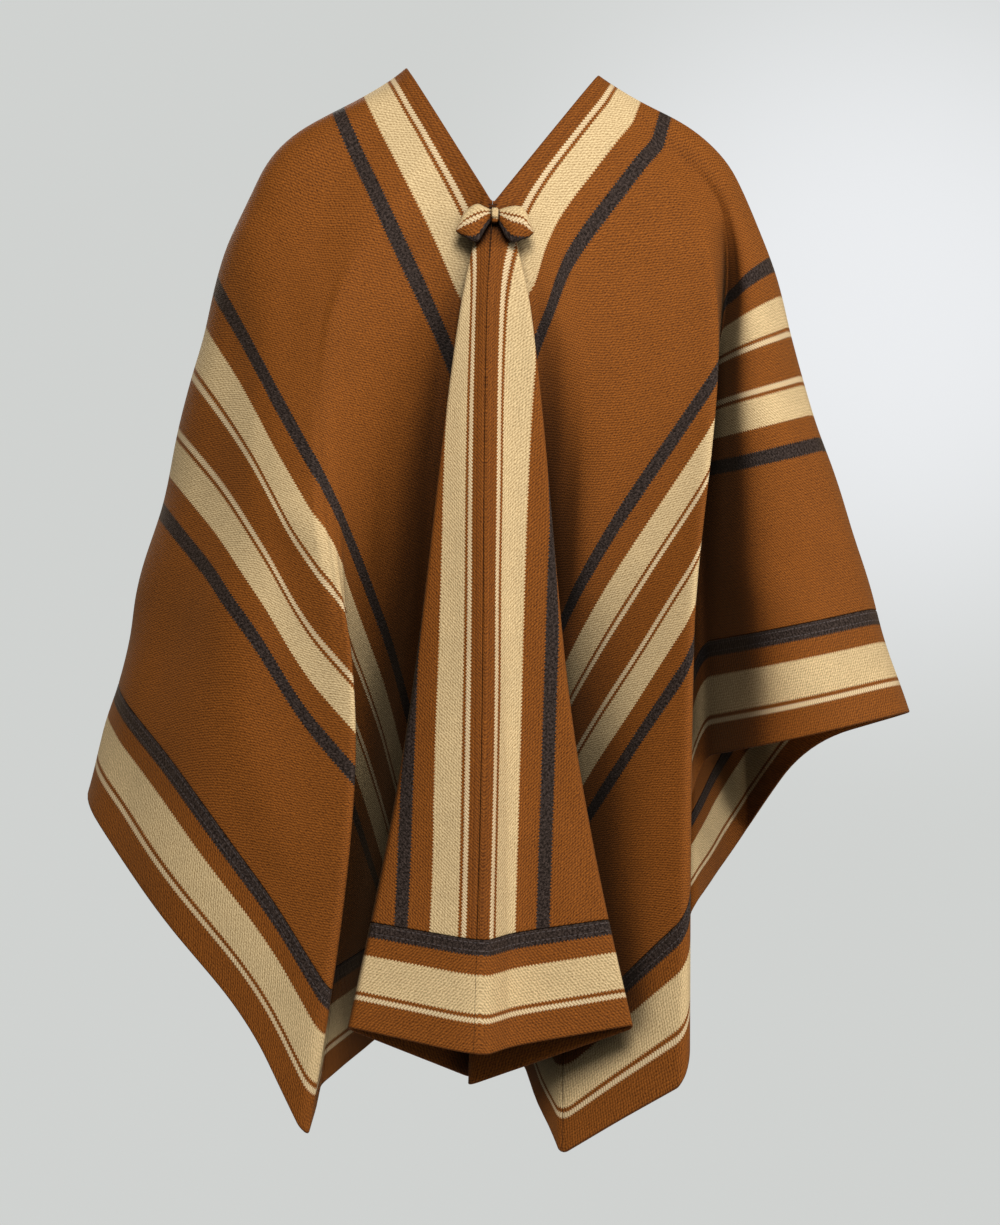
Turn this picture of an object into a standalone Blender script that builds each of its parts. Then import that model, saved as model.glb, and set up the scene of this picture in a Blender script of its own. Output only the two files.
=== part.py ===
"""Andean poncho, worn and hollow: two striped loom widths joined at the centre, a mitred border
all round, and a small cloth bow at the foot of the neck opening.

The cloth is drawn through its folds. The flat cut has two coordinates: u runs out from the centre
seam and v runs down from the shoulder line, positive at the front and negative at the back. Every
fold starts on the neck edge and ends on the cut's outer edge, and the tables give where it passes
three rectangular rings of the cut: chest, waist and edge. Between folds the cloth is straight, and
each fold is rounded by its own softness.

Frame: metres, +Z up, -Y is the front. The origin is midway between the two neck points, on top of
the shoulders. The tables are in millimetres. Left is -X.
"""

import bpy
import bmesh
import numpy as np

MM = 0.001

# The flat cut, in millimetres.
HALF_WIDTH = 675.0        # centre seam to side edge
HALF_LENGTH = 955.0       # shoulder line to hem
NECK_SLIT = 175.0         # shoulder line to the foot of the neck opening
BORDER = 104.0            # width of the border strips
CHEST_RING = (175.0, 280.0)
WAIST_RING = (410.0, 690.0)
EDGE_RING = (HALF_WIDTH, HALF_LENGTH)

# The wall and its seams, in millimetres.
WALL = 2.4
SEAM_GAP = 0.3

# The neck opening, in millimetres.
NECK_POINTS = {-1: (-81.0, 15.0, 8.0), 1: (98.0, 15.0, 0.0)}
NECK_FOOT_FRONT = (0.0, -80.0, -128.0)
NECK_FOOT_BACK = (0.0, 90.0, -116.0)
NECK_CREST = 0.25         # how far the top of the neck edge is rounded over the shoulder

# How much of a fold's slope at the chest and at the waist comes from the span above.
SLOPE_FROM_ABOVE = (0.3, 0.5)
# Rows of cloth between the rings.
ROWS = (("neck", "chest", 3), ("chest", "waist", 6), ("waist", "inner", 4), ("inner", "edge", 3))
FOLD_STEPS = (0.0, 0.25, 0.5, 0.75, 1.0)      # points across each rounded fold
BEND_RADIUS = 3.0         # no fold is bent tighter than this, in millimetres
TIP_SOFTNESS = 0.12       # softness of a corner of the cut at its very edge

# The folds in order round the left half, from the front seam to the back seam. lies says which
# part of a ring the fold crosses; cut is its place along that part of the ring (u on a hem, v on
# a side), and x, y, z is where it is.
#   name, lies, softness, neck v,
#   chest cut, x, y, z,   waist cut, x, y, z,   edge cut, x, y, z
LEFT_FOLDS = (
    ("panel_edge", "front", 0.25, 165,
     38, -30, -105, -230,   92, -87, -141, -630,   135, -139, -184, -867),
    ("inner_fold", "front", 0.20, 160,
     51, -22, -84, -230,   185, -4, -85, -645,   270, -14, -106, -925),
    ("valley", "front", 0.50, 150,
     66, -40, -82, -235,   275, -76, -30, -650,   430, -72, -15, -866),
    ("corner", "front_corner", 0.40, 105,
     280, -137, -107, -286,   690, -134, -134, -655,   955, -155, -145, -925),
    ("ridge", "side", 0.30, 95,
     262, -144, -121, -268,   658, -122, -174, -645,   885, -165, -203, -968),
    ("dip", "side", 0.70, 80,
     208, -162, -98, -220,   586, -172, -146, -590,   770, -219, -150, -867),
    ("front", "side", 0.80, 60,
     138, -184, -66, -178,   475, -232, -115, -490,   615, -315, -82, -763),
    ("arm", "side", 0.70, 35,
     60, -219, -18, -97,   290, -315, 20, -399,   430, -394, 60, -664),
    ("arm_back", "side", 0.70, 0,
     -10, -211, 60, -95,   150, -292, 150, -410,   250, -345, 235, -670),
    ("back_1", "side", 0.45, -25,
     -60, -195, 80, -150,   10, -225, 30, -430,   40, -250, 45, -700),
    ("back_2", "side", 0.40, -50,
     -110, -178, 105, -190,   -130, -225, 160, -490,   -210, -295, 270, -765),
    ("back_3", "side", 0.40, -75,
     -165, -155, 98, -225,   -290, -150, 45, -560,   -440, -200, 60, -835),
    ("back_4", "side", 0.40, -100,
     -220, -132, 120, -260,   -480, -165, 220, -610,   -700, -225, 310, -895),
    ("back_corner", "back_corner", 0.40, -120,
     -280, -105, 98, -285,   -690, -115, 60, -650,   -955, -150, 100, -905),
    ("back_hem_1", "back", 0.40, -140,
     110, -72, 128, -280,   270, -100, 200, -650,   450, -110, 325, -910),
    ("back_hem_2", "back", 0.40, -155,
     52, -36, 100, -265,   130, -50, 70, -645,   215, -60, 95, -885),
)
RIGHT_FOLDS = (
    ("crease", "front", 0.50, 170,
     20, 10, -108, -230,   36, 16, -150, -632,   48, 20, -192, -885),
    ("panel_edge", "front", 0.25, 165,
     42, 35, -105, -230,   112, 86, -150, -626,   172, 140, -205, -863),
    ("inner_fold", "front", 0.15, 160,
     54, 28, -88, -230,   217, -12, -108, -645,   345, -24, -140, -927),
    ("valley", "front", 0.50, 150,
     64, 43, -80, -224,   305, 30, -35, -680,   475, 22, -35, -900),
    ("corner", "front_corner", 0.60, 100,
     280, 95, -85, -308,   690, 68, -80, -712,   955, 60, -165, -985),
    ("ridge", "side", 0.20, 55,
     110, 197, -45, -170,   455, 180, -140, -540,   785, 173, -215, -914),
    ("slot", "side", 0.50, 35,
     60, 212, -12, -140,   250, 184, 5, -370,   425, 180, 35, -640),
    ("sleeve", "side", 0.80, 18,
     30, 219, -15, -112,   140, 250, -78, -358,   215, 280, -108, -615),
    ("arm", "side", 0.70, 0,
     0, 228, 15, -93,   30, 317, 10, -340,   20, 413, 14, -588),
    ("arm_back", "side", 0.70, -20,
     -40, 217, 65, -114,   -90, 278, 120, -385,   -140, 301, 140, -627),
    ("back_1", "side", 0.45, -45,
     -85, 190, 88, -168,   -200, 215, 165, -455,   -310, 239, 244, -731),
    ("back_2", "side", 0.40, -70,
     -140, 165, 90, -215,   -330, 180, 70, -540,   -500, 185, 75, -786),
    ("back_3", "side", 0.40, -90,
     -190, 142, 116, -245,   -500, 145, 215, -610,   -740, 175, 300, -885),
    ("back_corner", "back_corner", 0.40, -110,
     -280, 108, 100, -285,   -690, 118, 60, -660,   -955, 120, 100, -940),
    ("back_hem_1", "back", 0.40, -140,
     110, 72, 126, -280,   270, 92, 200, -650,   450, 110, 320, -915),
    ("back_hem_2", "back", 0.40, -155,
     52, 36, 102, -265,   130, 50, 70, -645,   215, 60, 95, -890),
)
SEAM_FOLDS = (
    ("front_seam", "front", 0.50, 175,
     0, -5, -115, -233,   0, -6, -182, -636,   0, -10, -230, -891),
    ("back_seam", "back", 0.45, -175,
     0, 0, 128, -250,   0, 0, 190, -640,   0, 5, 310, -890),
)

# The bow: its pinch, and the sections of each loop going out from the pinch, in millimetres.
BOW_PINCH = (2.0, -90.4, -139.0)
BOW_LEAN = 0.25           # how far it leans forward for each millimetre down
#   out from the pinch, top, bottom, half depth
LEFT_LOOP = (
    (3.5, 4.0, -6.5, 3.0),
    (9.0, 6.5, -15.0, 6.5),
    (15.0, 9.0, -25.5, 8.5),
    (21.0, 7.0, -26.0, 9.0),
    (27.5, 1.0, -22.0, 8.0),
    (32.0, -6.0, -19.5, 6.0),
    (35.5, -13.0, -16.5, 3.0),
)
RIGHT_LOOP = (
    (3.5, 4.0, -9.0, 3.0),
    (9.5, 6.0, -21.0, 6.5),
    (15.0, 7.0, -26.5, 8.5),
    (20.0, 7.0, -26.5, 9.0),
    (25.6, 5.0, -24.5, 8.0),
    (29.6, -1.0, -23.0, 6.5),
    (32.6, -9.0, -20.5, 5.0),
    (35.0, -16.0, -18.0, 3.0),
)
KNOT = (
    (-3.4, 4.0, -6.0, 3.4),
    (-2.0, 5.6, -7.8, 6.2),
    (2.0, 5.6, -7.8, 6.2),
    (3.4, 4.0, -6.0, 3.4),
)
LOOP_SIDES = 8            # points round each section of the bow

RING_SIZES = {"chest": CHEST_RING, "waist": WAIST_RING, "edge": EDGE_RING}


def neck_point(v, side):
    """Where the neck edge is at v, on the side -1 (left) or +1 (right)."""
    share = abs(v) / NECK_SLIT
    crest = NECK_CREST
    fall = (np.hypot(share, crest) - crest) / (np.hypot(1.0, crest) - crest)
    foot = NECK_FOOT_FRONT if v > 0 else NECK_FOOT_BACK
    top = NECK_POINTS[side]
    x = top[0] + (foot[0] - top[0]) * fall
    y = top[1] + (foot[1] - top[1]) * share
    z = top[2] + (foot[2] - top[2]) * fall
    return (x, y, z)


def cut_place(lies, ring, cut):
    """The flat cut's (u, v) of a fold where it crosses a ring."""
    ring_u, ring_v = RING_SIZES[ring]
    places = {
        "front": (cut, ring_v),
        "front_corner": (ring_u, ring_v),
        "side": (ring_u, cut),
        "back_corner": (ring_u, -ring_v),
        "back": (cut, -ring_v),
    }
    return places[lies]


def smooth_through(knots, values, at):
    """A smooth curve through four stations, with the slope at each one from its neighbours."""
    knots = np.asarray(knots, float)
    values = np.asarray(values, float)
    steps = np.diff(knots)
    chords = np.diff(values, axis=0) / steps[:, None]
    slopes = np.empty_like(values)
    above = np.array(SLOPE_FROM_ABOVE)[:, None]
    slopes[1:-1] = chords[:-1] * above + chords[1:] * (1.0 - above)
    slopes[0] = chords[0]
    slopes[-1] = 1.5 * chords[-1] - 0.5 * slopes[-2]
    span = int(np.clip(np.searchsorted(knots, at) - 1, 0, len(steps) - 1))
    h = steps[span]
    t = (at - knots[span]) / h
    start = (1 + 2 * t) * (1 - t) ** 2 * values[span] + t * (1 - t) ** 2 * h * slopes[span]
    end = t * t * (3 - 2 * t) * values[span + 1] + t * t * (t - 1) * h * slopes[span + 1]
    return start + end


def row_stations():
    """The rows as (station, share of the way to the next one), from the neck to the edge."""
    inner = (WAIST_RING[0] - (HALF_WIDTH - BORDER)) / (WAIST_RING[0] - HALF_WIDTH)
    reach = {"neck": 0.0, "chest": 1.0, "waist": 2.0, "inner": 2.0 + inner, "edge": 3.0}
    rows = [0.0]
    inner_row = 0
    for start, end, count in ROWS:
        if start == "inner":
            inner_row = len(rows) - 1
        for step in range(1, count + 1):
            rows.append(reach[start] + (reach[end] - reach[start]) * step / count)
    return rows, inner_row


def fold_line(fold, side):
    """One fold from the neck to the edge: (x, y, z, u, v) at every row."""
    name, lies, softness, neck_v, *numbers = fold
    stations = [(*neck_point(neck_v, side), 0.0, neck_v)]
    for index, ring in enumerate(("chest", "waist", "edge")):
        cut, x, y, z = numbers[4 * index:4 * index + 4]
        stations.append((x, y, z, *cut_place(lies, ring, cut)))
    stations = np.array(stations)
    lengths = np.hypot(*np.diff(stations[:, 3:], axis=0).T)
    knots = np.concatenate(([0.0], np.cumsum(lengths)))
    rows, inner_row = row_stations()
    line = []
    for row in rows:
        span = min(int(row), 2)
        at = knots[span] + (knots[span + 1] - knots[span]) * (row - span)
        line.append(smooth_through(knots, stations, at))
    return np.array(line)


def all_folds():
    """Every fold round the garment, from the front seam by the left side and the back."""
    ring = [(SEAM_FOLDS[0], -1)]
    ring += [(fold, -1) for fold in LEFT_FOLDS]
    ring += [(SEAM_FOLDS[1], -1)]
    ring += [(fold, 1) for fold in reversed(RIGHT_FOLDS)]
    return ring


def fold_softness(fold, row, last_row):
    """How much of the cloth beside a fold its rounding takes, at one row."""
    softness = fold[2]
    if "corner" not in fold[1]:
        return softness
    towards_tip = max(0.0, (row - 2.0) / (last_row - 2.0))
    return softness + (TIP_SOFTNESS - softness) * towards_tip


def rounded_corner(here, last, following, softness):
    """Points across one fold: the corner at here is rounded by an arc between its two arms."""
    back = last - here
    on = following - here
    back_length = np.linalg.norm(back[:3])
    on_length = np.linalg.norm(on[:3])
    cosine = np.dot(back[:3], on[:3]) / (back_length * on_length)
    half_turn = 0.5 * (np.pi - np.arccos(np.clip(cosine, -1.0, 1.0)))
    least = BEND_RADIUS * np.tan(half_turn)
    start = here + back * min(0.49, max(0.5 * softness, least / back_length))
    end = here + on * min(0.49, max(0.5 * softness, least / on_length))
    weight = np.cos(half_turn)
    points = []
    for t in FOLD_STEPS:
        pull = 2.0 * weight * t * (1.0 - t)
        total = (1.0 - t) ** 2 + pull + t * t
        points.append(((1.0 - t) ** 2 * start + pull * here + t * t * end) / total)
    return points


def drape():
    """The whole cloth: rows x columns of (x, y, z, u, v), and the column of each fold."""
    ring = all_folds()
    lines = np.array([fold_line(fold, side) for fold, side in ring])
    rows, inner_row = row_stations()
    cloth = []
    for index, row in enumerate(rows):
        points = lines[:, index]
        columns = []
        for place, (fold, side) in enumerate(ring):
            following = points[(place + 1) % len(ring)]
            softness = fold_softness(fold, row, rows[-1])
            columns += rounded_corner(points[place], points[place - 1], following, softness)
        cloth.append(columns)
    places = {}
    for place, (fold, side) in enumerate(ring):
        where = "left_" if side < 0 else "right_"
        places[where + fold[0]] = len(FOLD_STEPS) * place + len(FOLD_STEPS) // 2
    return np.array(cloth), places, inner_row


def unit(vectors):
    return vectors / np.linalg.norm(vectors, axis=-1, keepdims=True)


def cloth_directions(cloth):
    """At every point of the cloth: the way down its fold, the way round, and the way out."""
    down = unit(np.gradient(cloth[:, :, :3], axis=0))
    following = unit(np.roll(cloth, -1, axis=1)[:, :, :3] - cloth[:, :, :3])
    before = unit(cloth[:, :, :3] - np.roll(cloth, 1, axis=1)[:, :, :3])
    round_way = unit(following + before)
    return down, round_way, unit(np.cross(down, round_way))


def piece_walls(cloth, rows, columns):
    """A piece's outer and inner points, with its edges drawn back by half a seam gap."""
    down, round_way, out = cloth_directions(cloth)
    place = np.ix_(rows, columns)
    middle = cloth[place][:, :, :3].copy()
    half = SEAM_GAP / 2.0
    middle[0] += half * down[place][0]
    middle[-1] -= half * down[place][-1]
    middle[:, 0] += half * round_way[place][:, 0]
    middle[:, -1] -= half * round_way[place][:, -1]
    thick = 0.5 * WALL * out[place]
    return (middle + thick) * MM, (middle - thick) * MM


def material(name, colour, roughness):
    made = bpy.data.materials.new(name)
    made.use_nodes = True
    shader = made.node_tree.nodes["Principled BSDF"]
    shader.inputs["Base Color"].default_value = (*colour, 1.0)
    shader.inputs["Roughness"].default_value = roughness
    return made


def cloth_piece(name, walls, finish, collection):
    """A closed wall of cloth: its outer and inner faces, joined all round the edge."""
    mesh = bpy.data.meshes.new(name)
    wall = bmesh.new()
    outer, inner = [[[wall.verts.new(point) for point in row] for row in face] for face in walls]
    last_row = len(outer) - 1
    last_column = len(outer[0]) - 1
    for i in range(last_row):
        for j in range(last_column):
            falling = walls[0][i + 1][j + 1] - walls[0][i][j]
            rising = walls[0][i][j + 1] - walls[0][i + 1][j]
            corners = [(i, j), (i + 1, j), (i + 1, j + 1), (i, j + 1)]
            if np.linalg.norm(rising) < np.linalg.norm(falling):
                corners = corners[1:] + corners[:1]
            for triangle in (corners[:3], [corners[0], corners[2], corners[3]]):
                wall.faces.new([outer[p][q] for p, q in triangle])
                wall.faces.new([inner[p][q] for p, q in reversed(triangle)])
    rim = [((i, j), (i + 1, j)) for i in range(last_row) for j in (0, last_column)]
    rim += [((i, j), (i, j + 1)) for j in range(last_column) for i in (0, last_row)]
    for (i, j), (p, q) in rim:
        wall.faces.new((outer[i][j], inner[i][j], inner[p][q]))
        wall.faces.new((outer[i][j], inner[p][q], outer[p][q]))
    bmesh.ops.recalc_face_normals(wall, faces=wall.faces)
    wall.to_mesh(mesh)
    wall.free()
    mesh.materials.append(finish)
    mesh.shade_smooth()
    piece = bpy.data.objects.new(name, mesh)
    collection.objects.link(piece)


def bow_piece(name, sections, side, finish, collection):
    """A padded loop or knot: oval sections joined into a closed cage, then subdivided."""
    mesh = bpy.data.meshes.new(name)
    cage = bmesh.new()
    rings = []
    for out, top, bottom, depth in sections:
        middle = 0.5 * (top + bottom)
        height = 0.5 * (top - bottom)
        ring = []
        for step in range(LOOP_SIDES):
            turn = 2.0 * np.pi * step / LOOP_SIDES
            rise = middle + height * np.cos(turn)
            x = BOW_PINCH[0] + side * out
            y = BOW_PINCH[1] - depth * np.sin(turn) + BOW_LEAN * rise
            z = BOW_PINCH[2] + rise
            ring.append(cage.verts.new((x * MM, y * MM, z * MM)))
        rings.append(ring)
    for here, following in zip(rings, rings[1:]):
        for step in range(LOOP_SIDES):
            after = (step + 1) % LOOP_SIDES
            cage.faces.new((here[step], here[after], following[after], following[step]))
    cage.faces.new(rings[0])
    cage.faces.new(rings[-1])
    bmesh.ops.recalc_face_normals(cage, faces=cage.faces)
    cage.to_mesh(mesh)
    cage.free()
    mesh.materials.append(finish)
    mesh.shade_smooth()
    piece = bpy.data.objects.new(name, mesh)
    collection.objects.link(piece)
    rounding = piece.modifiers.new("rounding", "SUBSURF")
    rounding.levels = 1
    rounding.render_levels = 1


def build():
    for thing in list(bpy.data.objects):
        bpy.data.objects.remove(thing, do_unlink=True)
    collection = bpy.data.collections.new("andean_poncho")
    bpy.context.scene.collection.children.link(collection)
    wool = material("wool_brown", (0.26, 0.075, 0.016), 0.92)
    border_wool = material("wool_border", (0.58, 0.42, 0.22), 0.92)

    cloth, places, inner_row = drape()
    rows = list(range(cloth.shape[0]))
    count = cloth.shape[1]
    front = places["left_front_seam"]
    back = places["left_back_seam"]
    halves = {
        "left": list(range(front, back + 1)),
        "right": [index % count for index in range(back, front + count + 1)],
    }
    corners = {
        "left": (places["left_corner"], places["left_back_corner"]),
        "right": (places["right_back_corner"], places["right_corner"]),
    }
    parts = {"left": ("front", "side", "back"), "right": ("back", "side", "front")}
    for side, columns in halves.items():
        panel = piece_walls(cloth, rows[:inner_row + 1], columns)
        cloth_piece("body_panel_" + side, panel, wool, collection)
        first, second = (columns.index(corner) for corner in corners[side])
        spans = (columns[:first + 1], columns[first:second + 1], columns[second:])
        for part, span in zip(parts[side], spans):
            strip = piece_walls(cloth, rows[inner_row:], span)
            cloth_piece("border_" + part + "_" + side, strip, border_wool, collection)
    bow_piece("bow_loop_left", LEFT_LOOP, -1, border_wool, collection)
    bow_piece("bow_loop_right", RIGHT_LOOP, 1, border_wool, collection)
    bow_piece("bow_knot", KNOT, 1, wool, collection)


build()
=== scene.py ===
import math

import bpy
import bmesh
import numpy as np
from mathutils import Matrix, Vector


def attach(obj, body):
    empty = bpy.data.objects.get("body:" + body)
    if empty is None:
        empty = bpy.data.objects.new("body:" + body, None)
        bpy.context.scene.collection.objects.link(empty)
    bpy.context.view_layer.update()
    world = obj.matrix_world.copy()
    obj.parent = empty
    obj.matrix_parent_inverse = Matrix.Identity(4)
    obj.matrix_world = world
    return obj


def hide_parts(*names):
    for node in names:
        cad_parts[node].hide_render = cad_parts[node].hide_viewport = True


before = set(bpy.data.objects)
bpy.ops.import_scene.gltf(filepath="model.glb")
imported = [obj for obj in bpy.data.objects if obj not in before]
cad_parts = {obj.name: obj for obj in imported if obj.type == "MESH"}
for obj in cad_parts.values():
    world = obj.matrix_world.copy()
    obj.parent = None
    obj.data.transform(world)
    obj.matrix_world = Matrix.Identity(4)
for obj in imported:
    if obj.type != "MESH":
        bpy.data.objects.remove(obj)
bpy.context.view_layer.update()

MM = 0.001

# The flat cut, in millimetres: u runs out from the centre seam, v down from the shoulder line.
HALF_WIDTH = 675.0
HALF_LENGTH = 955.0
NECK_SLIT = 175.0
BORDER = 104.0
CHEST_RING = (175.0, 280.0)
WAIST_RING = (410.0, 690.0)
EDGE_RING = (HALF_WIDTH, HALF_LENGTH)

WALL = 2.4
SEAM_GAP = 0.3

NECK_POINTS = {-1: (-81.0, 15.0, 8.0), 1: (98.0, 15.0, 0.0)}
NECK_FOOT_FRONT = (0.0, -80.0, -128.0)
NECK_FOOT_BACK = (0.0, 90.0, -116.0)
NECK_CREST = 0.25

SLOPE_FROM_ABOVE = (0.3, 0.5)
ROWS = (("neck", "chest", 24), ("chest", "waist", 48), ("waist", "inner", 32), ("inner", "edge", 24))
ARC_POINTS = 11           # points across each rounded fold
FLAT_POINTS = 6           # points across the cloth between two folds
FOLD_COLUMNS = ARC_POINTS + FLAT_POINTS
BEND_RADIUS = 3.0
BEND_SHARE = 0.49         # how far towards the next fold a bend may reach
TIP_SOFTNESS = 0.12
# The left chest is smooth: its folds only rise out of it between these stations of the rows.
CHEST_SPAN = ("left_valley", "left_front")
CHEST_ROWS = (0.1, 0.3, 1.0, 1.7)
CHEST_PASSES = 400
BEND_ROOM = 0.8           # a bend's radius that the wall may take up on its inner side
THINNEST = 0.42           # share of the wall that stays in the tightest bend
# How a wall's rim is rounded: millimetres in from the edge, share of the wall's half thickness.
RIM = ((0.0, 0.4), (0.45, 0.82), (1.2, 1.0))
RIM_STEP = 2.4            # where the cloth's own points are nearer than this, the rim shrinks with them

#   name, lies, softness, neck v,
#   chest cut, x, y, z,   waist cut, x, y, z,   edge cut, x, y, z
LEFT_FOLDS = (
    ("panel_edge", "front", 0.25, 165,
     38, -30, -105, -230,   92, -87, -141, -630,   135, -139, -184, -867),
    ("inner_fold", "front", 0.20, 160,
     51, -22, -84, -230,   185, -4, -85, -645,   270, -14, -106, -925),
    ("valley", "front", 0.50, 150,
     66, -40, -82, -235,   275, -76, -30, -650,   430, -72, -15, -866),
    ("corner", "front_corner", 0.40, 105,
     280, -137, -107, -286,   690, -134, -134, -655,   955, -155, -145, -925),
    ("ridge", "side", 0.30, 95,
     262, -144, -121, -268,   658, -122, -174, -645,   885, -165, -203, -968),
    ("dip", "side", 0.70, 80,
     208, -162, -98, -220,   586, -172, -146, -590,   770, -219, -150, -867),
    ("front", "side", 0.80, 60,
     138, -184, -66, -178,   475, -232, -115, -490,   615, -315, -82, -763),
    ("arm", "side", 0.70, 35,
     60, -219, -18, -97,   290, -315, 20, -399,   430, -394, 60, -664),
    ("arm_back", "side", 0.70, 0,
     -10, -211, 60, -95,   150, -292, 150, -410,   250, -345, 235, -670),
    ("back_1", "side", 0.45, -25,
     -60, -195, 80, -150,   10, -225, 30, -430,   40, -250, 45, -700),
    ("back_2", "side", 0.40, -50,
     -110, -178, 105, -190,   -130, -225, 160, -490,   -210, -295, 270, -765),
    ("back_3", "side", 0.40, -75,
     -165, -155, 98, -225,   -290, -150, 45, -560,   -440, -200, 60, -835),
    ("back_4", "side", 0.40, -100,
     -220, -132, 120, -260,   -480, -165, 220, -610,   -700, -225, 310, -895),
    ("back_corner", "back_corner", 0.40, -120,
     -280, -105, 98, -285,   -690, -115, 60, -650,   -955, -150, 100, -905),
    ("back_hem_1", "back", 0.40, -140,
     110, -72, 128, -280,   270, -100, 200, -650,   450, -110, 325, -910),
    ("back_hem_2", "back", 0.40, -155,
     52, -36, 100, -265,   130, -50, 70, -645,   215, -60, 95, -885),
)
RIGHT_FOLDS = (
    ("crease", "front", 0.50, 170,
     20, 10, -108, -230,   36, 16, -150, -632,   48, 20, -192, -885),
    ("panel_edge", "front", 0.25, 165,
     42, 35, -105, -230,   112, 86, -150, -626,   172, 140, -205, -863),
    ("inner_fold", "front", 0.15, 160,
     54, 28, -88, -230,   217, -12, -108, -645,   345, -24, -140, -927),
    ("valley", "front", 0.50, 150,
     64, 43, -80, -224,   305, 30, -35, -680,   475, 22, -35, -900),
    ("corner", "front_corner", 0.60, 100,
     280, 95, -85, -308,   690, 68, -80, -712,   955, 60, -165, -985),
    ("ridge", "side", 0.20, 55,
     110, 197, -45, -170,   455, 180, -140, -540,   785, 173, -215, -914),
    ("slot", "side", 0.50, 35,
     60, 212, -12, -140,   250, 184, 5, -370,   425, 180, 35, -640),
    ("sleeve", "side", 0.80, 18,
     30, 219, -15, -112,   140, 250, -78, -358,   215, 280, -108, -615),
    ("arm", "side", 0.70, 0,
     0, 228, 15, -93,   30, 317, 10, -340,   20, 413, 14, -588),
    ("arm_back", "side", 0.70, -20,
     -40, 217, 65, -114,   -90, 278, 120, -385,   -140, 301, 140, -627),
    ("back_1", "side", 0.45, -45,
     -85, 190, 88, -168,   -200, 215, 165, -455,   -310, 239, 244, -731),
    ("back_2", "side", 0.40, -70,
     -140, 165, 90, -215,   -330, 180, 70, -540,   -500, 185, 75, -786),
    ("back_3", "side", 0.40, -90,
     -190, 142, 116, -245,   -500, 145, 215, -610,   -740, 175, 300, -885),
    ("back_corner", "back_corner", 0.40, -110,
     -280, 108, 100, -285,   -690, 118, 60, -660,   -955, 120, 100, -940),
    ("back_hem_1", "back", 0.40, -140,
     110, 72, 126, -280,   270, 92, 200, -650,   450, 110, 320, -915),
    ("back_hem_2", "back", 0.40, -155,
     52, 36, 102, -265,   130, 50, 70, -645,   215, 60, 95, -890),
)
SEAM_FOLDS = (
    ("front_seam", "front", 0.50, 175,
     0, -5, -115, -233,   0, -6, -182, -636,   0, -10, -230, -891),
    ("back_seam", "back", 0.45, -175,
     0, 0, 128, -250,   0, 0, 190, -640,   0, 5, 310, -890),
)
RING_SIZES = {"chest": CHEST_RING, "waist": WAIST_RING, "edge": EDGE_RING}

# Creases in the cloth, on the flat cut in millimetres. u is negative on the left half.
#   from u, v,   to u, v,   half width, height (negative is a trough)
CREASES = (
    (-205, 120, -300, 420, 26, -5.0),
    (-300, 420, -350, 640, 30, -4.0),
    (-140, 150, -215, 380, 22, 3.0),
    (-420, 470, -520, 660, 34, -4.5),
    (-330, 180, -470, 330, 36, -3.0),
    (-520, 250, -600, 420, 30, 3.5),
    (-250, 60, -420, 110, 32, -2.5),
    (150, 200, 260, 460, 24, -4.0),
    (250, 520, 330, 800, 30, -4.0),
    (210, 150, 330, 330, 26, 2.5),
    (330, 60, 560, 90, 34, -3.0),
    (420, -30, 620, -20, 30, 2.5),
    (30, 760, 120, 770, 9, -1.2),
    (-95, 740, -20, 735, 9, -1.0),
    (-130, -140, -240, -430, 26, -3.0),
    (-330, -120, -520, -260, 34, -3.5),
    (130, -160, 230, -420, 26, -3.0),
    (330, -130, 520, -300, 34, -3.0),
)
SHARP_FOLD = 0.35         # creases die out at folds of this softness or less
SOFT_FOLD = 0.75          # and cross folds of this softness or more unchanged
FADE_SHARE = 0.3          # of a fold's columns: how far a sharp fold's fade keeps and then runs out
SEAM_FADE = 40.0          # creases fade in over this distance from the centre seams
NECK_FADE_ROWS = 12.0
# Slow unevenness of the hanging cloth: wavelength along u, along v, phase, height.
WAVES = (
    (310.0, 240.0, 0.4, 1.1),
    (190.0, -270.0, 2.1, 0.8),
    (-140.0, 410.0, 4.0, 0.7),
    (95.0, 160.0, 5.2, 0.35),
)

# Stripes, in millimetres from the centre seam on the body and from the outer edge on the border.
BODY_BEIGE = ((23.7, 50.7), (283.2, 309.2), (358.5, 384.6))
BODY_THIN = ((15.8, 20.5), (312.5, 317.1), (350.6, 355.3))
BODY_DARK = ((72.1, 85.1), (249.7, 262.7), (405.0, 418.0))
BORDER_BEIGE = ((36.3, 71.6),)
BORDER_THIN = ((27.9, 32.6),)
BORDER_DARK = ((89.3, 110.0),)
LAP_AT_HEM = 9.0          # how far the right panel's edge is lapped over at the hem
LAP_ENDS = (100.0, 200.0)   # where the lap's shift of the stripes fades out, from the seam
TOOTH = 3.2               # length of one tooth of a stripe's edge
TOOTH_DEPTH = 0.85
TWILL = 3.3               # distance from one line of the twill to the next, along the stripe

BROWN = ((0.075, 0.018, 0.0020), (0.500, 0.158, 0.022))
BEIGE = ((0.270, 0.150, 0.045), (1.000, 0.760, 0.420))
DARK = ((0.012, 0.007, 0.005), (0.120, 0.085, 0.072))
THIN = ((0.42, 0.25, 0.10), (0.90, 0.70, 0.43))
BAND_SHADE = (0.075, 0.020, 0.004)
SEAM_SHADE = (0.020, 0.007, 0.003)
STITCH_SHADE = (0.19, 0.16, 0.16)
EDGE_SHADE = (0.075, 0.022, 0.006)
NO_STRIPE = ((990.0, 991.0),)

# Painted shade that darkens the cloth's colour in its folds: reach in metres, openness from dark to
# light, darkest.
FOLD_SHADE_REACH = 0.12
FOLD_SHADE_OPENNESS = (0.38, 0.84)
FOLD_SHADE_DARKEST = 0.14

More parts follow.
